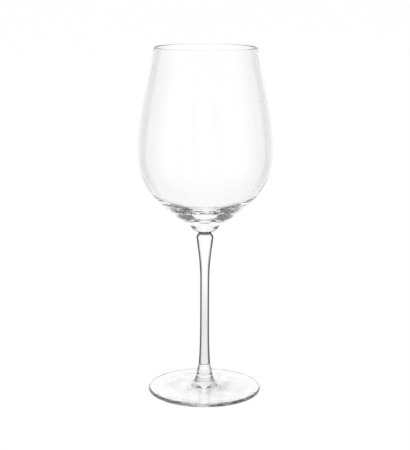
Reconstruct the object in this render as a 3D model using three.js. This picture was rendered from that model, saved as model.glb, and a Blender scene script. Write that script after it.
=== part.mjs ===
// Stemmed wine glass in clear glass, about half a litre to the brim.
//
// A wine glass is made hot from three pieces of glass: a blown bowl, a pulled stem and a pressed foot.
// Each is a solid of revolution about +Z. Neighbours meet face to face at a weld plane, where the
// hot glass is pressed together, and they share the weld's height and radius.
//
// Units are millimetres. The origin is on the table, under the middle of the foot.

import * as THREE from "three";

// ---- Driving dimensions -------------------------------------------------------------------------

// Heights, from the table up: the foot piece, then the stem, then the bowl.
const FOOT_HEIGHT = 18.2; // table to the foot weld
const STEM_LENGTH = 91; // foot weld to bowl weld
const BOWL_HEIGHT = 120.8; // bowl weld to the top of the lip

// Bowl
const BELLY_RADIUS = 44.1; // outside, where the bowl is widest
const BELLY_RISE = 50.8; // bowl weld to the widest level
const RIM_RADIUS = 33.5; // outside, at the lip
const RIM_LEAN = THREE.MathUtils.degToRad(8); // how far the wall leans inwards at the lip
const WALL = 1.2; // thickness of the bowl's blown wall
const WALL_GAIN = 0.1; // how much thicker it is where the solid base begins
const BASE_RADIUS = 12.3; // outside, where the round base turns into the neck
const BASE_RISE = 5.8; // bowl weld to that turn
const BASE_SLOPE = THREE.MathUtils.degToRad(32); // slope of the underside there
const NECK_RADIUS = 8.8; // the neck, where it has turned up from its sloping underside
const NECK_RISE = 2.3; // bowl weld to there
const SUMP_RISE = 10.4; // bowl weld to the lowest point inside: the solid glass under the wine

// Fullness of the bowl's curves: how far each keeps its end's direction, as a share of the height
// between its ends, or in millimetres where the curve lies nearly flat
const FULLNESS_AT_RIM = 0.3;
const FULLNESS_ABOVE_BELLY = 0.4;
const FULLNESS_BELOW_BELLY = 0.48;
const UNDERSIDE_RUN = 15.5; // millimetres along the slope of the underside
const SOLID_FROM = 0.55; // the wall starts to thicken this far up the curve from base to belly
const SOLID_RUN = 8; // millimetres that the inside keeps that slope
const SUMP_FLOOR_RUN = 14; // millimetres of nearly flat floor inside
const NECK_CORNER_RADIUS = 8.2; // the corner that the neck's underside turns round
const NECK_CORNER_RISE = 1; // bowl weld to that corner
const NECK_LEAN = 0.34; // the neck's curve leans out by this share of its spread
const NECK_TUCK = 1; // and stays this many millimetres below the base's turn

// Welds
const BOWL_WELD_RADIUS = 4.9;
const FOOT_WELD_RADIUS = 3.95;

// Stem
const SHOULDER_RADIUS = 5.7; // the widest part of the pulled stem, just under the bowl weld
const SHOULDER_DROP = 4.2; // bowl weld to the shoulder
const WAIST_RADIUS = 3.05; // the thin, straight middle
const WAIST_TOP_DROP = 34.7; // bowl weld to the top of the straight middle
const WAIST_BOTTOM_RISE = 30; // foot weld to its bottom
const SHOULDER_CROWN = 1.8; // how far above its widest level the shoulder stays full
const PINCH_DEPTH = 0.5; // how much less radius than the weld has the pinch under it
const PINCH_DROP = 1.3; // bowl weld to the pinch
const PINCH_TUCK = 0.9; // how far below the pinch the shoulder has drawn in
const PINCH_SPREAD = 0.3; // how far below the weld the pinch has spread out again
const SHOULDER_FLARE = 1.2; // radius gained in the last stretch up to the shoulder
const SHOULDER_FLARE_SHARE = 0.3; // that stretch, as a share of the flared length
const WAIST_TOP_SHARE = 0.45; // how far the waist's line carries into the flared length
const WAIST_BOTTOM_SHARE = 0.4; // and into the taper below it
const TAPER_AT_WELD = 0.55; // radius lost in the first stretch above the foot weld
const TAPER_SHARE = 0.15; // that stretch, as a share of the taper

// Foot
const FOOT_RADIUS = 37.7;
const FOOT_EDGE = 2.4; // thickness of the rounded edge
const BEAD_RADIUS = 4.9; // the little swelling under the foot weld
const BEAD_DROP = 4.4; // foot weld to the swelling
const COVE_RADIUS = 11; // where the post has spread out into the plate
const COVE_HEIGHT = 4.6; // table to the plate's top there
const COVE_INNER_SHARE = 0.56; // how far in the plate's slope carries, as a share of its radius
const COVE_LIFT = 0.6; // and how much it rises there
const BEAD_UNDERCUT = 0.9; // how much the post swells below the bead
const BEAD_UNDERCUT_SHARE = 0.6; // at this share of the post's height below the bead
const BEAD_TUCK = 0.75; // how much the bead draws in before the weld
const BEAD_TUCK_DROP = 1.8; // this far below the weld
const RING_RADIUS = 29; // inner edge of the flat ring that the glass stands on
const HOLLOW_HEIGHT = 1.4; // how high the underside rises in the middle

// Fineness of the facets
const SIDES = 40; // around the axis
const CURVE_STEPS = 9; // along each long curve
const ARC_STEPS = 6; // along a lip or edge

// ---- Levels worked out from them ----------------------------------------------------------------

const footWeldZ = FOOT_HEIGHT;
const bowlWeldZ = footWeldZ + STEM_LENGTH;
const topZ = bowlWeldZ + BOWL_HEIGHT;
const bellyZ = bowlWeldZ + BELLY_RISE;
const baseZ = bowlWeldZ + BASE_RISE;
const sumpZ = bowlWeldZ + SUMP_RISE;

// ---- Shapes -------------------------------------------------------------------------------------

// The four points of the upper part of a cubic curve, cut at a share of it.
function upperPart([start, leave, arrive, end], share) {
  const first = start.clone().lerp(leave, share);
  const middle = leave.clone().lerp(arrive, share);
  const last = arrive.clone().lerp(end, share);
  const before = first.lerp(middle, share);
  const after = middle.clone().lerp(last, share);
  return [before.lerp(after, share), after, last, end];
}

// Each profile is a path of (radius, height) that starts and ends on the axis and keeps the glass on its left.

function bowlProfile() {
  const lipRadius = WALL / 2;
  const lip = new THREE.Vector2(RIM_RADIUS - lipRadius, topZ - lipRadius);
  const across = new THREE.Vector2(Math.cos(RIM_LEAN), Math.sin(RIM_LEAN));
  const lipOutside = lip.clone().addScaledVector(across, lipRadius);
  const lipInside = lip.clone().addScaledVector(across, -lipRadius);
  const upperSpan = topZ - bellyZ;
  const rimRun = FULLNESS_AT_RIM * upperSpan;
  const down = new THREE.Vector2(across.y, -across.x); // along the wall, away from the lip
  const innerBelly = BELLY_RADIUS - WALL;

  // From base to belly, outside
  const base = new THREE.Vector2(BASE_RADIUS, baseZ);
  const underside = new THREE.Vector2(Math.cos(BASE_SLOPE), Math.sin(BASE_SLOPE));
  const belowBelly = new THREE.Vector2(BELLY_RADIUS, bellyZ - FULLNESS_BELOW_BELLY * (bellyZ - baseZ));
  const belly = new THREE.Vector2(BELLY_RADIUS, bellyZ);
  const outside = [base, base.clone().addScaledVector(underside, UNDERSIDE_RUN), belowBelly, belly];

  // The inside runs beside it, a wall away, down to where the glass starts to thicken
  const [turn, aboveTurn, besideBelly] = upperPart(outside, SOLID_FROM);
  const slope = aboveTurn.clone().sub(turn).normalize();
  const inward = new THREE.Vector2(-slope.y, slope.x).multiplyScalar(WALL + WALL_GAIN);
  const innerTurn = turn.clone().add(inward);
  const innerAboveTurn = aboveTurn.clone().add(inward);

  const path = new THREE.Path();
  path.moveTo(0, bowlWeldZ);
  path.lineTo(BOWL_WELD_RADIUS, bowlWeldZ);
  path.quadraticCurveTo(
    NECK_CORNER_RADIUS,
    bowlWeldZ + NECK_CORNER_RISE,
    NECK_RADIUS,
    bowlWeldZ + NECK_RISE,
  );
  path.quadraticCurveTo(
    NECK_RADIUS + NECK_LEAN * (BASE_RADIUS - NECK_RADIUS),
    baseZ - NECK_TUCK,
    BASE_RADIUS,
    baseZ,
  );
  path.bezierCurveTo(
    outside[1].x,
    outside[1].y,
    belowBelly.x,
    belowBelly.y,
    belly.x,
    belly.y,
  );
  path.bezierCurveTo(
    BELLY_RADIUS,
    bellyZ + FULLNESS_ABOVE_BELLY * upperSpan,
    lipOutside.x + down.x * rimRun,
    lipOutside.y + down.y * rimRun,
    lipOutside.x,
    lipOutside.y,
  );
  path.absarc(lip.x, lip.y, lipRadius, RIM_LEAN, RIM_LEAN + Math.PI, false);
  path.bezierCurveTo(
    lipInside.x + down.x * rimRun,
    lipInside.y + down.y * rimRun,
    innerBelly,
    bellyZ + FULLNESS_ABOVE_BELLY * upperSpan,
    innerBelly,
    bellyZ,
  );
  path.bezierCurveTo(
    besideBelly.x - WALL,
    besideBelly.y,
    innerAboveTurn.x,
    innerAboveTurn.y,
    innerTurn.x,
    innerTurn.y,
  );
  path.bezierCurveTo(
    innerTurn.x - SOLID_RUN * slope.x,
    innerTurn.y - SOLID_RUN * slope.y,
    SUMP_FLOOR_RUN,
    sumpZ,
    0,
    sumpZ,
  );
  return path;
}

function stemProfile() {
  const shoulderZ = bowlWeldZ - SHOULDER_DROP;
  const waistTopZ = bowlWeldZ - WAIST_TOP_DROP;
  const waistBottomZ = footWeldZ + WAIST_BOTTOM_RISE;
  const flaredLength = shoulderZ - waistTopZ;
  const pinchRadius = BOWL_WELD_RADIUS - PINCH_DEPTH;
  const pinchZ = bowlWeldZ - PINCH_DROP;
  const path = new THREE.Path();
  path.moveTo(0, footWeldZ);
  path.lineTo(FOOT_WELD_RADIUS, footWeldZ);
  path.bezierCurveTo(
    FOOT_WELD_RADIUS - TAPER_AT_WELD,
    footWeldZ + TAPER_SHARE * WAIST_BOTTOM_RISE,
    WAIST_RADIUS,
    waistBottomZ - WAIST_BOTTOM_SHARE * WAIST_BOTTOM_RISE,
    WAIST_RADIUS,
    waistBottomZ,
  );
  path.lineTo(WAIST_RADIUS, waistTopZ);
  path.bezierCurveTo(
    WAIST_RADIUS,
    waistTopZ + WAIST_TOP_SHARE * flaredLength,
    SHOULDER_RADIUS - SHOULDER_FLARE,
    shoulderZ - SHOULDER_FLARE_SHARE * flaredLength,
    SHOULDER_RADIUS,
    shoulderZ,
  );
  path.bezierCurveTo(
    SHOULDER_RADIUS,
    shoulderZ + SHOULDER_CROWN,
    pinchRadius,
    pinchZ - PINCH_TUCK,
    pinchRadius,
    pinchZ,
  );
  path.quadraticCurveTo(
    pinchRadius,
    bowlWeldZ - PINCH_SPREAD,
    BOWL_WELD_RADIUS,
    bowlWeldZ,
  );
  path.lineTo(0, bowlWeldZ);
  return path;
}

function footProfile() {
  const edgeRadius = FOOT_EDGE / 2;
  const edgeCentre = FOOT_RADIUS - edgeRadius;
  const beadZ = footWeldZ - BEAD_DROP;
  const path = new THREE.Path();
  path.moveTo(0, HOLLOW_HEIGHT);
  path.quadraticCurveTo(RING_RADIUS / 2, HOLLOW_HEIGHT, RING_RADIUS, 0);
  path.lineTo(edgeCentre, 0);
  path.absarc(edgeCentre, edgeRadius, edgeRadius, -Math.PI / 2, Math.PI / 2, false);
  path.lineTo(COVE_RADIUS, COVE_HEIGHT);
  path.bezierCurveTo(
    COVE_INNER_SHARE * COVE_RADIUS,
    COVE_HEIGHT + COVE_LIFT,
    BEAD_RADIUS + BEAD_UNDERCUT,
    beadZ - BEAD_UNDERCUT_SHARE * (beadZ - COVE_HEIGHT),
    BEAD_RADIUS,
    beadZ,
  );
  path.quadraticCurveTo(
    BEAD_RADIUS - BEAD_TUCK,
    footWeldZ - BEAD_TUCK_DROP,
    FOOT_WELD_RADIUS,
    footWeldZ,
  );
  path.lineTo(0, footWeldZ);
  return path;
}

// ---- Meshes -------------------------------------------------------------------------------------

const clearGlass = {
  color: 0xf4f7f6,
  roughness: 0.02,
  metalness: 0,
  transparent: true,
  opacity: 0.35,
};

// The points of a profile: the ends of its lines, and as many steps as its curves and arcs need.
function outline(profile) {
  return profile.curves.flatMap((curve) => {
    if (curve.isLineCurve) return curve.getPoints(1);
    return curve.getPoints(curve.isEllipseCurve ? ARC_STEPS : CURVE_STEPS);
  });
}

function turned(name, profile) {
  const geometry = new THREE.LatheGeometry(outline(profile), SIDES);
  const mesh = new THREE.Mesh(geometry, new THREE.MeshStandardMaterial(clearGlass));
  mesh.name = name;
  mesh.rotation.x = Math.PI / 2; // a lathe turns about Y, and the glass stands along Z
  return mesh;
}

const glass = new THREE.Group();
glass.add(turned("foot", footProfile()), turned("stem", stemProfile()), turned("bowl", bowlProfile()));

export default glass;
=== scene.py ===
# %% [markdown]
# # A stemmed wine glass
# A wine glass is made hot from three pieces of clear glass: a blown bowl, a pulled stem and a
# pressed foot. This lesson loads the measured model of those three pieces, turns a finer piece
# over each one, gives each its glass, and stands it in a white studio. Lengths are in metres, +Z
# is up, and the glass stands on the table at the origin.

# %% Load the measured model
import math

import bpy
from mathutils import Matrix, Vector


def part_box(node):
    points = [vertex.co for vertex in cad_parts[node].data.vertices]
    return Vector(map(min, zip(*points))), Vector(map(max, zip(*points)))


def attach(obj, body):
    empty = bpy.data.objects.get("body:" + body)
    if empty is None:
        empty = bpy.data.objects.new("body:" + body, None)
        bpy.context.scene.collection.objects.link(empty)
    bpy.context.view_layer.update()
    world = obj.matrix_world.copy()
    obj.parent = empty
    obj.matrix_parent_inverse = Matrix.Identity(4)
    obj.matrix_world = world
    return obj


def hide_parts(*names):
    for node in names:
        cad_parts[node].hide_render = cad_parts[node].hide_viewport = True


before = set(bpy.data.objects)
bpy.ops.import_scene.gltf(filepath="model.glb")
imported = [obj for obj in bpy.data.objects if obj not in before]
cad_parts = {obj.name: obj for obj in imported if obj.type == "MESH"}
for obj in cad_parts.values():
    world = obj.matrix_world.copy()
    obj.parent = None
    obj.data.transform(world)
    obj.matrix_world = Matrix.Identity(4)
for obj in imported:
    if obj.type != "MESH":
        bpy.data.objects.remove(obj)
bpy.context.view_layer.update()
print("measured pieces:", sorted(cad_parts))

# %% [markdown]
# ## Heights and widths
# The measured model already knows where the pieces meet and how wide they are, so the finer pieces
# take the heights of their welds and their widest radii from it. The rim's height, the radii of the
# welds and the shapes in between are written down here.

# %% Take the main sizes from the measured model
foot_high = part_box("foot")[1]
stem_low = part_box("stem")[0]
bowl_low, bowl_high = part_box("bowl")

foot_weld_height = stem_low.z
bowl_weld_height = bowl_low.z
rim_height = 0.230
foot_radius = foot_high.x
belly_radius = bowl_high.x
print(f"welds at {foot_weld_height:.4f} and {bowl_weld_height:.4f}, rim at {rim_height:.3f}")
print(f"foot radius {foot_radius:.4f}, belly radius {belly_radius:.4f}")

# %% Sizes shared by neighbouring pieces
foot_weld_radius = 0.00395
bowl_weld_radius = 0.0049

# %% [markdown]
# ## Drawing a profile
# Glass that is spun while it is hot comes out round, so half of its outline says everything. The
# outline is drawn as a Bezier curve in the XZ plane, from the axis, round the outside, and back to
# the axis. Each stretch is one cubic piece, kept as its four points. A straight line and an arc
# are written as cubics too, so that one list holds the whole outline. Cutting a stretch in two, by
# going a share of the way along each of its lines, lets a wall follow only the upper part of a
# curve.

# %% Stretches of an outline
def stretch(start, leave, arrive, end):
    return [Vector(start), Vector(leave), Vector(arrive), Vector(end)]


def straight(start, end):
    return stretch(start, start, end, end)


def bend(start, corner, end):
    start, corner, end = Vector(start), Vector(corner), Vector(end)
    return [start, start.lerp(corner, 2 / 3), end.lerp(corner, 2 / 3), end]


def round_edge(centre, radius, first_angle, last_angle, parts=2):
    pieces = []
    turn = (last_angle - first_angle) / parts
    reach = 4 / 3 * math.tan(turn / 4) * radius
    for i in range(parts):
        a = first_angle + i * turn
        b = a + turn
        from_a = Vector((math.cos(a), math.sin(a)))
        from_b = Vector((math.cos(b), math.sin(b)))
        start = Vector(centre) + radius * from_a
        end = Vector(centre) + radius * from_b
        leave = start + reach * Vector((-from_a.y, from_a.x))
        arrive = end - reach * Vector((-from_b.y, from_b.x))
        pieces.append([start, leave, arrive, end])
    return pieces


def cut_stretch(piece, share):
    first = piece[0].lerp(piece[1], share)
    middle = piece[1].lerp(piece[2], share)
    last = piece[2].lerp(piece[3], share)
    before = first.lerp(middle, share)
    after = middle.lerp(last, share)
    place = before.lerp(after, share)
    return [piece[0], first, before, place], [place, after, last, piece[3]]


# %% Turn a list of stretches into a Bezier curve object
def draw_profile(name, pieces, steps=20):
    curve = bpy.data.curves.new(name, "CURVE")
    curve.dimensions = "3D"
    curve.resolution_u = steps
    spline = curve.splines.new("BEZIER")
    spline.bezier_points.add(len(pieces))
    spline.resolution_u = steps
    for point in spline.bezier_points:
        point.handle_left_type = "FREE"
        point.handle_right_type = "FREE"
    for i, (start, leave, arrive, end) in enumerate(pieces):
        first = spline.bezier_points[i]
        second = spline.bezier_points[i + 1]
        first.co = (start.x, 0, start.y)
        first.handle_right = (leave.x, 0, leave.y)
        second.handle_left = (arrive.x, 0, arrive.y)
        second.co = (end.x, 0, end.y)
        if leave == start and arrive == end:
            first.handle_right_type = "VECTOR"
            second.handle_left_type = "VECTOR"
    spline.bezier_points[0].handle_left = spline.bezier_points[0].co
    spline.bezier_points[-1].handle_right = spline.bezier_points[-1].co
    profile = bpy.data.objects.new(name, curve)
    bpy.context.scene.collection.objects.link(profile)
    print(name, "has", len(pieces), "stretches")
    return profile


# %% [markdown]
# ## The bowl's outline
# A blown bowl has an even, thin wall and a thick round bottom, because the gob of glass is
# thickest where the blowpipe's bubble ends. Under it, a short neck slopes in to the weld. The
# outside goes up the neck, out along the underside, round the belly and in to the rim. The rim is
# melted round. The inside comes back down beside the outside, one wall away, and leaves it low in
# the bowl to cross over a round bottom of solid glass.

# %% Bowl sizes
wall = 0.0012
rim_radius = 0.0335
rim_lean = math.radians(8)
belly_height = bowl_weld_height + 0.0508
base_height = bowl_weld_height + 0.0058
base_radius = 0.0123
base_slope = math.radians(32)
base_run = 0.0155
neck_radius = 0.0088
neck_height = bowl_weld_height + 0.0023
neck_corner = (0.0082, bowl_weld_height + 0.001)
neck_top = base_height - 0.001
bottom_height = bowl_weld_height + 0.0104
bottom_run = 0.014
thick_from = 0.55
thick_run = 0.008
low_wall = 0.0013
neck_lean_share = 0.34
full_share_below = 0.48
full_share_above = 0.4
lip_share = 0.3

# %% Bowl outline
def bowl_outline():
    half_wall = wall / 2
    lip = Vector((rim_radius - half_wall, rim_height - half_wall))
    across = Vector((math.cos(rim_lean), math.sin(rim_lean)))
    down = Vector((across.y, -across.x))
    rise = rim_height - belly_height
    inner_radius = belly_radius - wall
    outside_lip = lip + half_wall * across
    inside_lip = lip - half_wall * across
    underside = Vector((math.cos(base_slope), math.sin(base_slope)))

    weld_centre = (0, bowl_weld_height)
    weld_edge = (bowl_weld_radius, bowl_weld_height)
    neck = (neck_radius, neck_height)
    base = Vector((base_radius, base_height))
    belly = (belly_radius, belly_height)
    inner_belly = (inner_radius, belly_height)
    bottom = (0, bottom_height)

    pieces = [straight(weld_centre, weld_edge)]
    pieces.append(bend(weld_edge, neck_corner, neck))
    neck_lean = neck_lean_share * (base_radius - neck_radius)
    pieces.append(bend(neck, (neck_radius + neck_lean, neck_top), base))
    drop_to_base = belly_height - base_height
    full_below = (belly_radius, belly_height - full_share_below * drop_to_base)
    outside_below = stretch(base, base + base_run * underside, full_below, belly)
    pieces.append(outside_below)
    full_above = (belly_radius, belly_height + full_share_above * rise)
    lip_run = lip_share * rise * down
    pieces.append(stretch(belly, full_above, outside_lip + lip_run, outside_lip))
    pieces += round_edge(lip, half_wall, rim_lean, rim_lean + math.pi)
    inner_above = (inner_radius, belly_height + full_share_above * rise)
    pieces.append(stretch(inside_lip, inside_lip + lip_run, inner_above, inner_belly))
    even_part = cut_stretch(outside_below, thick_from)[1]
    along = (even_part[1] - even_part[0]).normalized()
    inward = low_wall * Vector((-along.y, along.x))
    turn_point = even_part[0] + inward
    beside_belly = even_part[2] - Vector((wall, 0))
    pieces.append(stretch(inner_belly, beside_belly, even_part[1] + inward, turn_point))
    leave_wall = turn_point - thick_run * along
    pieces.append(stretch(turn_point, leave_wall, (bottom_run, bottom_height), bottom))
    return pieces


bowl_profile = draw_profile("bowl_profile", bowl_outline())

# %% [markdown]
# ## The stem's outline
# The stem is pulled from a hot lump: it stays full at the shoulder under the bowl, thins to a
# straight waist, and thickens a little again towards the foot. Just under the weld it is pinched
# in, and the melted edge spreads again to meet the bowl.

# %% Stem sizes
shoulder_radius = 0.0057
shoulder_height = bowl_weld_height - 0.0042
crown_rise = 0.0018
pinch_radius = 0.0044
pinch_height = bowl_weld_height - 0.0013
pinch_tuck = 0.0009
pinch_spread = 0.0003
swell_depth = 0.0012
foot_taper = 0.00055
waist_radius = 0.00305
waist_top = bowl_weld_height - 0.0347
waist_bottom = foot_weld_height + 0.030
leave_foot_share = 0.15
low_waist_share = 0.4
high_waist_share = 0.45
swell_share = 0.3

# %% Stem outline
def stem_outline():
    flare = shoulder_height - waist_top
    taper = waist_bottom - foot_weld_height
    foot_weld = (foot_weld_radius, foot_weld_height)
    low_waist = (waist_radius, waist_bottom)
    high_waist = (waist_radius, waist_top)
    shoulder = (shoulder_radius, shoulder_height)
    bowl_weld = (bowl_weld_radius, bowl_weld_height)

    pieces = [straight((0, foot_weld_height), foot_weld)]
    leave_foot = (foot_weld_radius - foot_taper, foot_weld_height + leave_foot_share * taper)
    reach_waist = (waist_radius, waist_bottom - low_waist_share * taper)
    pieces.append(stretch(foot_weld, leave_foot, reach_waist, low_waist))
    pieces.append(straight(low_waist, high_waist))
    leave_waist = (waist_radius, waist_top + high_waist_share * flare)
    swell = (shoulder_radius - swell_depth, shoulder_height - swell_share * flare)
    pieces.append(stretch(high_waist, leave_waist, swell, shoulder))
    crown = (shoulder_radius, shoulder_height + crown_rise)
    pinch = (pinch_radius, pinch_height)
    pieces.append(stretch(shoulder, crown, (pinch_radius, pinch_height - pinch_tuck), pinch))
    pieces.append(bend(pinch, (pinch_radius, bowl_weld_height - pinch_spread), bowl_weld))
    pieces.append(straight(bowl_weld, (0, bowl_weld_height)))
    return pieces


stem_profile = draw_profile("stem_profile", stem_outline())

# %% [markdown]
# ## The foot's outline
# The foot is a hot gob pressed flat between wooden paddles. It spreads from a short post with a
# bead under the weld, runs out thin to a rounded edge, and stands on a flat ring, because its
# underside is a little hollow.

# %% Foot sizes
edge_radius = 0.0012
ring_radius = 0.029
hollow_height = 0.0014
cove_radius = 0.011
cove_height = 0.0046
cove_lift = 0.0006
bead_radius = 0.0049
bead_height = foot_weld_height - 0.0044
bead_swell = 0.0009
collar_radius = bead_radius - 0.00075
collar_height = foot_weld_height - 0.0018
spread_share = 0.56
undercut_share = 0.6

# %% Foot outline
def foot_outline():
    edge_centre = foot_radius - edge_radius
    cove = (cove_radius, cove_height)
    bead = (bead_radius, bead_height)
    weld = (foot_weld_radius, foot_weld_height)

    pieces = [bend((0, hollow_height), (ring_radius / 2, hollow_height), (ring_radius, 0))]
    pieces.append(straight((ring_radius, 0), (edge_centre, 0)))
    pieces += round_edge((edge_centre, edge_radius), edge_radius, -math.pi / 2, math.pi / 2)
    pieces.append(straight((edge_centre, 2 * edge_radius), cove))
    spread = (spread_share * cove_radius, cove_height + cove_lift)
    undercut_height = bead_height - undercut_share * (bead_height - cove_height)
    undercut = (bead_radius + bead_swell, undercut_height)
    pieces.append(stretch(cove, spread, undercut, bead))
    pieces.append(bend(bead, (collar_radius, collar_height), weld))
    pieces.append(straight(weld, (0, foot_weld_height)))
    return pieces


foot_profile = draw_profile("foot_profile", foot_outline())

# %% [markdown]
# ## A lathe made of geometry nodes
# A lathe turns a profile round an axis. The tree below makes a flat grid with one row for each
# point of the profile and one column for each step round the circle, and then moves every grid
# point to its place on the circle: x is radius times cosine, y is radius times sine, z is the
# profile's height. The last column lands on the first and the points on the axis land on each
# other, so merging by distance closes the seam and the poles.
#
# The flat discs where two pieces are welded need care. Real glass is one body there, so light goes
# straight on. The tree finds those faces by their height and radius and gives them their own
# material.

# %% Small helpers for node trees
def add_node(tree, kind, **settings):
    node = tree.nodes.new(kind)
    for key, value in settings.items():
        setattr(node, key, value)
    return node


def arrange(tree, in_a_row=8, column_width=220, row_height=260):
    for i, node in enumerate(tree.nodes):
        node.location = (column_width * (i % in_a_row), -row_height * (i // in_a_row))


def plug(tree, source, target):
    if hasattr(source, "is_output"):
        tree.links.new(source, target)
    else:
        target.default_value = source


def calculate(tree, operation, *values):
    node = add_node(tree, "ShaderNodeMath", operation=operation)
    for socket, value in zip(node.inputs, values):
        plug(tree, value, socket)
    return node.outputs[0]


def distance_from_axis(tree, place):
    square_x = calculate(tree, "MULTIPLY", place.outputs["X"], place.outputs["X"])
    square_y = calculate(tree, "MULTIPLY", place.outputs["Y"], place.outputs["Y"])
    return calculate(tree, "SQRT", calculate(tree, "ADD", square_x, square_y))


def add_number_inputs(tree, usual_values):
    for name, value in usual_values.items():
        socket = tree.interface.new_socket(name, in_out="INPUT", socket_type="NodeSocketFloat")
        socket.default_value = value


# %% The lathe's inputs
lathe = bpy.data.node_groups.new("Lathe", "GeometryNodeTree")
lathe.interface.new_socket("Geometry", in_out="OUTPUT", socket_type="NodeSocketGeometry")
for name, kind in (
    ("Profile", "NodeSocketObject"),
    ("Sides", "NodeSocketInt"),
    ("Lower Weld Height", "NodeSocketFloat"),
    ("Lower Weld Radius", "NodeSocketFloat"),
    ("Upper Weld Height", "NodeSocketFloat"),
    ("Upper Weld Radius", "NodeSocketFloat"),
    ("Glass", "NodeSocketMaterial"),
    ("Weld", "NodeSocketMaterial"),
):
    lathe.interface.new_socket(name, in_out="INPUT", socket_type=kind)
lathe_in = add_node(lathe, "NodeGroupInput")
lathe_out = add_node(lathe, "NodeGroupOutput")

# %% Rows and columns of the grid
profile_info = add_node(lathe, "GeometryNodeObjectInfo", transform_space="ORIGINAL")
lathe.links.new(lathe_in.outputs["Profile"], profile_info.inputs["Object"])
profile_points = add_node(lathe, "GeometryNodeResampleCurve", mode="EVALUATED")
lathe.links.new(profile_info.outputs["Geometry"], profile_points.inputs["Curve"])
profile_size = add_node(lathe, "GeometryNodeAttributeDomainSize", component="CURVE")
lathe.links.new(profile_points.outputs["Curve"], profile_size.inputs["Geometry"])
columns = calculate(lathe, "ADD", lathe_in.outputs["Sides"], 1.0)
grid = add_node(lathe, "GeometryNodeMeshGrid")
lathe.links.new(profile_size.outputs["Point Count"], grid.inputs["Vertices X"])
lathe.links.new(columns, grid.inputs["Vertices Y"])

# %% Which profile point and which angle each grid point has
index = add_node(lathe, "GeometryNodeInputIndex").outputs[0]
middle_of_point = calculate(lathe, "ADD", index, 0.5)
row = calculate(lathe, "FLOOR", calculate(lathe, "DIVIDE", middle_of_point, columns))
column = calculate(lathe, "SUBTRACT", index, calculate(lathe, "MULTIPLY", row, columns))
turned_share = calculate(lathe, "DIVIDE", column, lathe_in.outputs["Sides"])
angle = calculate(lathe, "MULTIPLY", turned_share, 2 * math.pi)
profile_place = add_node(lathe, "GeometryNodeInputPosition").outputs[0]
sampled = add_node(lathe, "GeometryNodeSampleIndex", data_type="FLOAT_VECTOR", domain="POINT")
lathe.links.new(profile_points.outputs["Curve"], sampled.inputs["Geometry"])
lathe.links.new(profile_place, sampled.inputs["Value"])
lathe.links.new(row, sampled.inputs["Index"])
on_profile = add_node(lathe, "ShaderNodeSeparateXYZ")
lathe.links.new(sampled.outputs[0], on_profile.inputs[0])

# %% Wrap the grid round the axis and close it
same_place = 1e-7
turned = add_node(lathe, "ShaderNodeCombineXYZ")
for axis, wave in (("X", "COSINE"), ("Y", "SINE")):
    turned_part = calculate(lathe, wave, angle)
    place = calculate(lathe, "MULTIPLY", on_profile.outputs["X"], turned_part)
    lathe.links.new(place, turned.inputs[axis])
lathe.links.new(on_profile.outputs["Z"], turned.inputs["Z"])
wrapped = add_node(lathe, "GeometryNodeSetPosition")
lathe.links.new(grid.outputs["Mesh"], wrapped.inputs["Geometry"])
lathe.links.new(turned.outputs[0], wrapped.inputs["Position"])
closed = add_node(lathe, "GeometryNodeMergeByDistance")
closed.inputs["Distance"].default_value = same_place
lathe.links.new(wrapped.outputs["Geometry"], closed.inputs["Geometry"])
outward = add_node(lathe, "GeometryNodeFlipFaces")
lathe.links.new(closed.outputs["Geometry"], outward.inputs["Mesh"])

# %% Find the weld discs
same_height = 1e-6


def weld_disc(end, face_height, face_radius):
    height = lathe_in.outputs[end + " Weld Height"]
    radius_limit = lathe_in.outputs[end + " Weld Radius"]
    off_height = calculate(lathe, "ABSOLUTE", calculate(lathe, "SUBTRACT", face_height, height))
    at_height = calculate(lathe, "LESS_THAN", off_height, same_height)
    inside = calculate(lathe, "LESS_THAN", face_radius, radius_limit)
    return calculate(lathe, "MULTIPLY", at_height, inside)


face_place = add_node(lathe, "ShaderNodeSeparateXYZ")
lathe.links.new(profile_place, face_place.inputs[0])
face_radius = distance_from_axis(lathe, face_place)
face_height = face_place.outputs["Z"]
lower = weld_disc("Lower", face_height, face_radius)
upper = weld_disc("Upper", face_height, face_radius)
is_weld = calculate(lathe, "MAXIMUM", lower, upper)
is_glass = calculate(lathe, "LESS_THAN", is_weld, 0.5)

# %% Shade, give the two materials, and hand over one plain mesh
smooth = add_node(lathe, "GeometryNodeSetShadeSmooth", domain="FACE")
lathe.links.new(outward.outputs["Mesh"], smooth.inputs["Geometry"])
lathe.links.new(is_glass, smooth.inputs["Shade Smooth"])
glass_faces = add_node(lathe, "GeometryNodeSetMaterial")
lathe.links.new(smooth.outputs["Geometry"], glass_faces.inputs["Geometry"])
lathe.links.new(lathe_in.outputs["Glass"], glass_faces.inputs["Material"])
realized = add_node(lathe, "GeometryNodeRealizeInstances")
lathe.links.new(glass_faces.outputs["Geometry"], realized.inputs["Geometry"])
weld_faces = add_node(lathe, "GeometryNodeSetMaterial")
lathe.links.new(realized.outputs["Geometry"], weld_faces.inputs["Geometry"])
lathe.links.new(is_weld, weld_faces.inputs["Selection"])
lathe.links.new(lathe_in.outputs["Weld"], weld_faces.inputs["Material"])
lathe.links.new(weld_faces.outputs["Geometry"], lathe_out.inputs["Geometry"])
arrange(lathe)
print("lathe tree has", len(lathe.nodes), "nodes")
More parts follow.
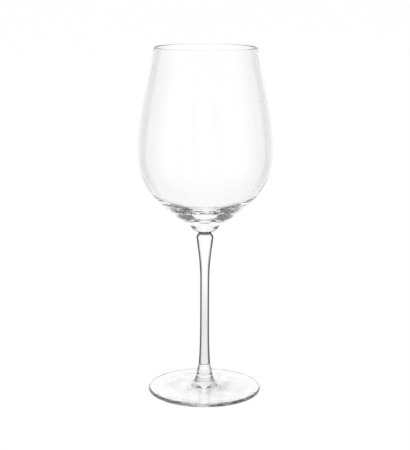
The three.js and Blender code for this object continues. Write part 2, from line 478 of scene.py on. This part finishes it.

# %% [markdown]
# ## Clear glass
# Clear glass has hardly any colour of its own. What shows its shape is how it bends and mirrors
# the room: seen square on it is clear, and towards its outline, where light travels a long way
# through it and meets it at a grazing angle, it darkens to a thin line. The Principled shader does
# the bending and mirroring; that dark line, and the grey places further on, are painted shade in
# the base colour. The surface is not perfectly even either: the tools leave faint waves in it,
# which are drawn by a noise stretched along or round the glass.

# %% Ripples left by the tools, shared by all three pieces
ripple = bpy.data.node_groups.new("Fire-polished ripple", "ShaderNodeTree")
ripple.interface.new_socket("Height", in_out="OUTPUT", socket_type="NodeSocketFloat")
add_number_inputs(ripple, {"Ripples Around": 40.0, "Ripples Along": 12.0, "Unevenness": 0.5})
ripple_in = add_node(ripple, "NodeGroupInput")
ripple_out = add_node(ripple, "NodeGroupOutput")
ripple_place = add_node(ripple, "ShaderNodeTexCoord")
ripple_parts = add_node(ripple, "ShaderNodeSeparateXYZ")
ripple.links.new(ripple_place.outputs["Object"], ripple_parts.inputs[0])
ripple_scaled = add_node(ripple, "ShaderNodeCombineXYZ")
for axis, size in (("X", "Ripples Around"), ("Y", "Ripples Around"), ("Z", "Ripples Along")):
    stretched = calculate(ripple, "MULTIPLY", ripple_parts.outputs[axis], ripple_in.outputs[size])
    ripple.links.new(stretched, ripple_scaled.inputs[axis])
ripple_noise = add_node(ripple, "ShaderNodeTexNoise", noise_dimensions="3D")
ripple_noise.inputs["Scale"].default_value = 1.0
ripple_noise.inputs["Detail"].default_value = 1.0
ripple.links.new(ripple_scaled.outputs[0], ripple_noise.inputs["Vector"])
unevenness = ripple_in.outputs["Unevenness"]
ripple_level = calculate(ripple, "MULTIPLY", ripple_noise.outputs["Fac"], unevenness)
ripple.links.new(ripple_level, ripple_out.inputs["Height"])
arrange(ripple)

# %% [markdown]
# ## Zones on the glass
# Some things happen only in one part of a piece, such as the painted grey shade at the foot's
# edge or the waves in the bowl's solid base. A group turns the height of a point and its distance
# from the axis into two shares, which grow from 0 to 1 between two limits. With the limits the
# other way round, a share falls instead.

# %% Where on the glass a point is, as two shares from 0 to 1
where = bpy.data.node_groups.new("Where on the glass", "ShaderNodeTree")
for name in ("Above", "Outside"):
    where.interface.new_socket(name, in_out="OUTPUT", socket_type="NodeSocketFloat")
add_number_inputs(where, {"Low": 0.0, "High": 0.1, "Inner": 0.0, "Outer": 0.1})
where_in = add_node(where, "NodeGroupInput")
where_out = add_node(where, "NodeGroupOutput")
where_place = add_node(where, "ShaderNodeTexCoord")
where_parts = add_node(where, "ShaderNodeSeparateXYZ")
where.links.new(where_place.outputs["Object"], where_parts.inputs[0])
off_axis = distance_from_axis(where, where_parts)
for share, value, start, end in (
    ("Above", where_parts.outputs["Z"], "Low", "High"),
    ("Outside", off_axis, "Inner", "Outer"),
):
    fade = add_node(where, "ShaderNodeMapRange", interpolation_type="SMOOTHSTEP")
    where.links.new(value, fade.inputs["Value"])
    where.links.new(where_in.outputs[start], fade.inputs["From Min"])
    where.links.new(where_in.outputs[end], fade.inputs["From Max"])
    where.links.new(fade.outputs[0], where_out.inputs[share])
arrange(where)


# %% Two colours mixed by a share
def mix_colours(tree, share, none, full):
    mix = add_node(tree, "ShaderNodeMix", data_type="RGBA")
    plug(tree, share, mix.inputs[0])
    for source, target in ((none, mix.inputs[6]), (full, mix.inputs[7])):
        if isinstance(source, float):
            source = (source, source, source, 1)
        plug(tree, source, target)
    return mix.outputs[2]


# %% How far a point is into a zone, by height, by distance from the axis, or by both
def zone_share(tree, zone):
    if isinstance(zone, list):
        return calculate(tree, "MULTIPLY", *[zone_share(tree, part) for part in zone])
    share, start, end = zone
    place = add_node(tree, "ShaderNodeGroup", node_tree=where)
    first, last = ("Low", "High") if share == "Above" else ("Inner", "Outer")
    place.inputs[first].default_value = start
    place.inputs[last].default_value = end
    return place.outputs[share]


# %% The height of a ripple
def ripple_height(tree, around, along):
    waves = add_node(tree, "ShaderNodeGroup", node_tree=ripple)
    waves.inputs["Ripples Around"].default_value = around
    waves.inputs["Ripples Along"].default_value = along
    return waves.outputs["Height"]


# %% [markdown]
# ## Painted shade in clear glass
# Layer Weight's Facing says how nearly edge on the surface is seen, from 0, square on, to 1. A
# ramp on it paints the dark line of an outline as shade in the colour, as wide and as dark as the
# piece is thick. Other places get a little painted grey shade whichever way they are seen, evenly
# or in patches made from the ripple noise. Each of these painted shades is multiplied into the
# colour, in its own zone only.
#
# The stem and the foot's post are upright rods. Seen from above, even the middle of a rod is seen
# aslant, and the plain ramp would turn all of it dark. A second Layer Weight, whose Normal is
# straight up, doesn't measure the glass: it gives the height of the line of sight. Dividing by the
# level part leaves only the turn round the rod, so that its dark lines stay at its two sides.

# %% A zone of painted shade broken up into patches
def patchy_share(tree, zone, patches):
    share = zone_share(tree, zone)
    if not patches:
        return share
    around, along, clear, full = patches
    patchy = add_node(tree, "ShaderNodeMapRange", interpolation_type="SMOOTHSTEP")
    tree.links.new(ripple_height(tree, around, along), patchy.inputs["Value"])
    patchy.inputs["From Min"].default_value = clear
    patchy.inputs["From Max"].default_value = full
    return calculate(tree, "MULTIPLY", share, patchy.outputs[0])


# %% How nearly edge on a surface is seen
def edge_on(tree):
    weight = add_node(tree, "ShaderNodeLayerWeight")
    weight.inputs["Blend"].default_value = 0.5
    return weight


# %% How nearly edge on an upright rod is seen, however high it is seen from
nearly_upright = 0.01


def edge_on_rod(tree):
    along = calculate(tree, "SUBTRACT", 1.0, edge_on(tree).outputs["Facing"])
    above = edge_on(tree)
    upright = add_node(tree, "ShaderNodeCombineXYZ")
    upright.inputs["Z"].default_value = 1.0
    tree.links.new(upright.outputs[0], above.inputs["Normal"])
    height = calculate(tree, "SUBTRACT", 1.0, above.outputs["Facing"])
    level = calculate(tree, "SUBTRACT", 1.0, calculate(tree, "MULTIPLY", height, height))
    level = calculate(tree, "SQRT", calculate(tree, "MAXIMUM", level, nearly_upright))
    return calculate(tree, "SUBTRACT", 1.0, calculate(tree, "DIVIDE", along, level))


# %% The painted dark line a piece of glass has along its outline
def painted_outline_shade(tree, edge_stops, rod):
    ramp = add_node(tree, "ShaderNodeValToRGB")
    while len(ramp.color_ramp.elements) < len(edge_stops):
        ramp.color_ramp.elements.new(0.5)
    for element, (place, level) in zip(ramp.color_ramp.elements, edge_stops):
        element.position = place
        element.color = (level, level, level, 1)
    seen = edge_on_rod(tree) if rod else edge_on(tree).outputs["Facing"]
    tree.links.new(seen, ramp.inputs["Fac"])
    return ramp.outputs["Color"]


# %% Darken a colour by painted shade where a zone says so
def darkened(tree, colour, rod, grey, zone, patches=None):
    if isinstance(grey, list):
        grey = painted_outline_shade(tree, grey, rod)
    shade = mix_colours(tree, patchy_share(tree, zone, patches), 1.0, grey)
    product = mix_colours(tree, 1.0, colour, shade)
    product.node.blend_type = "MULTIPLY"
    return product


# %% Small waves in the surface
def waved(tree, normal, height, depth):
    bump = add_node(tree, "ShaderNodeBump")
    bump.inputs["Strength"].default_value = 1.0
    bump.inputs["Distance"].default_value = depth
    tree.links.new(height, bump.inputs["Height"])
    if normal:
        tree.links.new(normal, bump.inputs["Normal"])
    return bump.outputs["Normal"]


# %% One recipe for the three glasses
glass_ior = 1.5


def clear_glass(name, rod, shades, ripples, rings=None):
    material = bpy.data.materials.new(name)
    material.use_nodes = True
    tree = material.node_tree
    tree.nodes.clear()
    surface = add_node(tree, "ShaderNodeOutputMaterial")
    shader = add_node(tree, "ShaderNodeBsdfPrincipled")
    tree.links.new(shader.outputs["BSDF"], surface.inputs["Surface"])
    shader.inputs["Metallic"].default_value = 0.0
    shader.inputs["Transmission Weight"].default_value = 1.0
    shader.inputs["IOR"].default_value = glass_ior
    shader.inputs["Roughness"].default_value = 0.0
    colour = 1.0
    for shade in shades:
        colour = darkened(tree, colour, rod, *shade)
    tree.links.new(colour, shader.inputs["Base Color"])
    around, along, depth = ripples
    normal = waved(tree, None, ripple_height(tree, around, along), depth)
    if rings:
        around, along, depth, zone = rings
        ring_share = zone_share(tree, zone)
        ring_height = calculate(tree, "MULTIPLY", ripple_height(tree, around, along), ring_share)
        normal = waved(tree, normal, ring_height, depth)
    tree.links.new(normal, shader.inputs["Normal"])
    arrange(tree)
    print("made", name)
    return material


# %% [markdown]
# ## The three glasses
# Each glass lists its painted shades. A shade is an outline ramp or a plain level of grey, then
# the zone it is found in and, where it is uneven, its patches: how many there are in a metre round
# and along the glass, and the noise levels at which they start and are full. A ramp is a list of
# places, from square on to edge on, each with its level. Then come the glass's waves, and last the
# rings the jack leaves where the glass is spun: how many in a metre round and along it, and how
# deep. A zone that starts under the table is all over the glass.

# %% The bowl's glass
# Painted shade: a dark outline ramp, a grey bottom and faint streaks on the wall.
bowl_edge = [
    (0.0, 1.0),
    (0.20, 1.0),
    (0.34, 0.93),
    (0.54, 0.87),
    (0.585, 0.68),
    (0.64, 0.80),
    (1.0, 0.70),
]
bowl_wall = ("Above", 0.130, 0.150)
solid_bottom = [("Above", 0.146, 0.132), ("Outside", 0.016, 0.026)]
painted_streak_wall = ("Above", 0.140, 0.160)
painted_streaks = (200.0, 4.0, 0.27, 0.33)
painted_bottom_level = 0.965
painted_streak_level = 0.987
bowl_glass = clear_glass(
    "bowl glass",
    rod=False,
    shades=[
        (bowl_edge, bowl_wall),
        (painted_bottom_level, solid_bottom),
        (painted_streak_level, painted_streak_wall, painted_streaks),
    ],
    ripples=(30.0, 10.0, 0.00001),
    rings=(15.0, 450.0, 0.0004, ("Above", 0.136, 0.126)),
)

# %% The stem's glass
# Painted shade: dark outline ramps, a near-black band under the weld, a grey lower waist.
all_over = ("Above", -1.0, 0.0)
waist_edge = [(0.0, 1.0), (0.14, 0.97), (0.20, 0.6), (0.27, 0.06), (1.0, 0.0)]
shoulder_edge = [(0.0, 1.0), (0.24, 0.97), (0.34, 0.5), (0.42, 0.0), (1.0, 0.0)]
below_shoulder = ("Above", 0.102, 0.085)
cap = ("Above", 0.1070, 0.1078)
lower_waist = ("Above", 0.085, 0.045)
painted_cap_level = 0.05
painted_waist_level = 0.82
stem_glass = clear_glass(
    "stem glass",
    rod=True,
    shades=[
        (waist_edge, below_shoulder),
        (shoulder_edge, all_over),
        (painted_cap_level, cap),
        (painted_waist_level, lower_waist),
    ],
    ripples=(120.0, 25.0, 0.00001),
)

# %% The foot's glass
# Painted shade: a banded dark post outline, a grey rim with dark patches, grey plate patches.
post_edge = [(0.0, 1.0), (0.14, 0.97), (0.24, 0.7), (0.36, 0.12), (1.0, 0.04)]
post = ("Outside", 0.010, 0.0065)
painted_post_bands = (15.0, 900.0, 0.20, 0.27)
rim = ("Outside", 0.0365, 0.0373)
rim_line = ("Outside", 0.0363, 0.0372)
painted_rim_patches = (150.0, 1200.0, 0.22, 0.31)
plate = ("Outside", 0.036, 0.012)
painted_plate_patches = (110.0, 110.0, 0.22, 0.34)
painted_rim_level = 0.5
painted_rim_patch_level = 0.1
painted_plate_level = 0.72
foot_glass = clear_glass(
    "foot glass",
    rod=True,
    shades=[
        (post_edge, post, painted_post_bands),
        (painted_rim_level, rim),
        (painted_rim_patch_level, rim_line, painted_rim_patches),
        (painted_plate_level, plate, painted_plate_patches),
    ],
    ripples=(160.0, 160.0, 0.0001),
    rings=(15.0, 600.0, 0.0001, ("Above", 0.004, 0.006)),
)

# %% The weld, where glass meets glass and nothing is seen
weld_seam = bpy.data.materials.new("weld seam")
weld_seam.use_nodes = True
weld_seam.node_tree.nodes.clear()
seam_surface = add_node(weld_seam.node_tree, "ShaderNodeOutputMaterial")
seam_shader = add_node(weld_seam.node_tree, "ShaderNodeBsdfPrincipled")
seam_shader.inputs["Alpha"].default_value = 0.0
weld_seam.node_tree.links.new(seam_shader.outputs["BSDF"], seam_surface.inputs["Surface"])

# %% [markdown]
# ## Turning the three pieces
# A carrier object holds the lathe as a modifier. Its inputs are set by their identifiers, the
# result is turned into a plain mesh, and the modifier, the profile and any empty first material
# slot are removed. The end of a piece that meets no other gets a weld below the table, where there
# is no face.

# %% Run the lathe on one profile
lathe_sockets = {}
for item in lathe.interface.items_tree:
    if item.in_out == "INPUT":
        lathe_sockets[item.name] = item.identifier


def turn(name, profile, glass, lower_weld, upper_weld, sides=256):
    piece = bpy.data.objects.new(name, bpy.data.meshes.new(name))
    bpy.context.scene.collection.objects.link(piece)
    modifier = piece.modifiers.new("Lathe", "NODES")
    modifier.node_group = lathe
    modifier[lathe_sockets["Profile"]] = profile
    modifier[lathe_sockets["Sides"]] = sides
    modifier[lathe_sockets["Lower Weld Height"]] = lower_weld[0]
    modifier[lathe_sockets["Lower Weld Radius"]] = lower_weld[1]
    modifier[lathe_sockets["Upper Weld Height"]] = upper_weld[0]
    modifier[lathe_sockets["Upper Weld Radius"]] = upper_weld[1]
    modifier[lathe_sockets["Glass"]] = glass
    modifier[lathe_sockets["Weld"]] = weld_seam
    bpy.context.view_layer.update()
    evaluated = piece.evaluated_get(bpy.context.evaluated_depsgraph_get())
    finished = bpy.data.meshes.new_from_object(evaluated)
    piece.modifiers.clear()
    piece.data = finished
    if finished.materials[0] is None:
        finished.materials.pop(index=0)
    bpy.data.objects.remove(profile)
    corners = [len(face.vertices) for face in finished.polygons]
    triangles = sum(corners) - 2 * len(corners)
    face_materials = [finished.materials[face.material_index] for face in finished.polygons]
    seam_faces = face_materials.count(weld_seam)
    print(name, len(corners), "faces,", triangles, "triangles,", seam_faces, "in the welds")
    return piece


no_weld = (-1.0, 0.0)
foot_weld = (foot_weld_height, foot_weld_radius)
bowl_weld = (bowl_weld_height, bowl_weld_radius)

# %% Foot, stem and bowl
foot = turn("clear_foot", foot_profile, foot_glass, no_weld, foot_weld)
stem = turn("clear_stem", stem_profile, stem_glass, foot_weld, bowl_weld)
bowl = turn("clear_bowl", bowl_profile, bowl_glass, bowl_weld, no_weld)

# %% Each stands for its measured piece
for piece, node, slot in (
    (foot, "foot", "foot_glass"),
    (stem, "stem", "stem_glass"),
    (bowl, "bowl", "bowl_glass"),
):
    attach(piece, "root")
    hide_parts(node)

# %% [markdown]
# ## A white studio
# Clear glass is set against white, so that only its edges show. The table is plain and pale, and
# so is the room. Is Camera Ray, Is Glossy Ray and Is Transmission Ray tell the table that it is
# being looked at, directly or in or through the glass, and there it is almost plain white. The
# small rest of its colour comes from the lamps.

# %% Who is looking
def being_looked_at(tree):
    path = add_node(tree, "ShaderNodeLightPath")
    seen = calculate(tree, "MAXIMUM", path.outputs["Is Camera Ray"], path.outputs["Is Glossy Ray"])
    return calculate(tree, "MAXIMUM", seen, path.outputs["Is Transmission Ray"])


# %% The table
table_white = bpy.data.materials.new("pale table")
table_white.use_nodes = True
table_tree = table_white.node_tree
table_tree.nodes.clear()
table_surface = add_node(table_tree, "ShaderNodeOutputMaterial")
table_paint = add_node(table_tree, "ShaderNodeBsdfDiffuse")
paint_level = 0.9
table_paint.inputs["Color"].default_value = (paint_level, paint_level, paint_level, 1)
table_glow = add_node(table_tree, "ShaderNodeEmission")
table_glow.inputs["Strength"].default_value = 1.0
white_share = 0.95
table_mix = add_node(table_tree, "ShaderNodeMixShader")
seen_share = calculate(table_tree, "MULTIPLY", being_looked_at(table_tree), white_share)
table_tree.links.new(seen_share, table_mix.inputs[0])
table_tree.links.new(table_paint.outputs[0], table_mix.inputs[1])
table_tree.links.new(table_glow.outputs[0], table_mix.inputs[2])
table_tree.links.new(table_mix.outputs[0], table_surface.inputs["Surface"])
arrange(table_tree)

table_mesh = bpy.data.meshes.new("table")
reach = 20.0
below = -0.0001
table_corners = [
    (-reach, -reach, below),
    (reach, -reach, below),
    (reach, reach, below),
    (-reach, reach, below),
]
table_mesh.from_pydata(table_corners, [], [(0, 1, 2, 3)])
table = bpy.data.objects.new("table", table_mesh)
bpy.context.scene.collection.objects.link(table)
table_mesh.materials.append(table_white)

# %% [markdown]
# ## Dark cards round a white room
# A solid base of clear glass in a white room would show nothing at all. A studio stands dark cards
# beside the glass, out of sight, so that the thick glass has something to bend and mirror. Here
# four wide cards with narrow faded edges stand at the four diagonals, and only light that has been
# mirrored at least twice meets them: Glossy Depth counts how often. Between the cards the same
# light is a little stronger than white, as from lamps beside the glass.

# %% Card sizes
card_middle = math.radians(45)
card_start = math.radians(20)
card_full = math.radians(24)
card_darkness = 1.0
mirrored_times = 1.5
lamp_strength = 0.08

# %% The room
room = bpy.data.worlds.new("white room")
bpy.context.scene.world = room
room.use_nodes = True
room_tree = room.node_tree
room_tree.nodes.clear()
room_out = add_node(room_tree, "ShaderNodeOutputWorld")
room_light = add_node(room_tree, "ShaderNodeBackground")
room_light.inputs["Color"].default_value = (1, 1, 1, 1)
room_tree.links.new(room_light.outputs[0], room_out.inputs["Surface"])
direction = add_node(room_tree, "ShaderNodeTexCoord")
direction_parts = add_node(room_tree, "ShaderNodeSeparateXYZ")
room_tree.links.new(direction.outputs["Generated"], direction_parts.inputs[0])
room_path = add_node(room_tree, "ShaderNodeLightPath")
sideways = direction_parts.outputs["X"]
onwards = direction_parts.outputs["Y"]
compass = calculate(room_tree, "ABSOLUTE", calculate(room_tree, "ARCTAN2", sideways, onwards))
quarter = calculate(room_tree, "PINGPONG", compass, card_middle)
card = add_node(room_tree, "ShaderNodeMapRange", interpolation_type="SMOOTHSTEP")
card.inputs["From Min"].default_value = card_start
card.inputs["From Max"].default_value = card_full
card.inputs["To Min"].default_value = 0.0
card.inputs["To Max"].default_value = card_darkness
room_tree.links.new(quarter, card.inputs["Value"])
times = room_path.outputs["Glossy Depth"]
mirrored_inside = calculate(room_tree, "GREATER_THAN", times, mirrored_times)
card_shade = calculate(room_tree, "MULTIPLY", card.outputs[0], mirrored_inside)
beside_cards = calculate(room_tree, "SUBTRACT", 1.0, card_shade)
lamp_light = calculate(room_tree, "MULTIPLY_ADD", mirrored_inside, lamp_strength, 1.0)
room_seen = calculate(room_tree, "MULTIPLY", beside_cards, lamp_light)
room_tree.links.new(room_seen, room_light.inputs["Strength"])
arrange(room_tree)

# %% [markdown]
# ## Lamps and camera
# Two large soft lamps light the table evenly. They are hidden from the glass itself, which would
# show them as hard bright spots. The camera stands a little over three quarters of a metre away,
# slightly above the rim, and looks down at the middle of the glass through a long lens.

# %% Soft lamps
lamp_target = Vector((0, 0, 0.1))


def soft_lamp(name, place, size, power):
    data = bpy.data.lights.new(name, "AREA")
    data.shape = "DISK"
    data.size = size
    data.energy = power
    lamp = bpy.data.objects.new(name, data)
    lamp.visible_glossy = False
    lamp.visible_transmission = False
    bpy.context.scene.collection.objects.link(lamp)
    lamp.location = place
    towards = lamp_target - Vector(place)
    lamp.rotation_euler = towards.to_track_quat("-Z", "Y").to_euler()
    print(name, "at", place)


soft_lamp("left lamp", place=(-1.6, -0.6, 1.8), size=1.2, power=18)
soft_lamp("right lamp", place=(1.4, 0.8, 2.0), size=1.2, power=10)

# %% Camera
camera_distance = 0.8251
camera_height = 0.2862
looks_down = 11.83
tilts_sideways = 0.25
lens_length = 102.17
camera_data = bpy.data.cameras.new("camera")
camera_data.sensor_width = 36
camera_data.sensor_fit = "AUTO"
camera_data.lens = lens_length
camera = bpy.data.objects.new("camera", camera_data)
bpy.context.scene.collection.objects.link(camera)
bpy.context.scene.camera = camera
tilt = Matrix.Rotation(math.radians(90 - looks_down), 3, "X")
roll = Matrix.Rotation(math.radians(tilts_sideways), 3, "Z")
camera.rotation_euler = (tilt @ roll).to_euler()
camera.location = (0, -camera_distance, camera_height)

# %% [markdown]
# ## Following the light far enough
# In solid glass light is mirrored to and fro many times before it comes out. If the renderer gives
# up too early, that light is missing and the base goes black, so it is followed for many bounces.

# %% Enough bounces for thick glass
paths = bpy.context.scene.cycles
paths.max_bounces = 32
paths.glossy_bounces = 24
paths.transmission_bounces = 24

# %% Plain colours
bpy.context.scene.view_settings.view_transform = "Standard"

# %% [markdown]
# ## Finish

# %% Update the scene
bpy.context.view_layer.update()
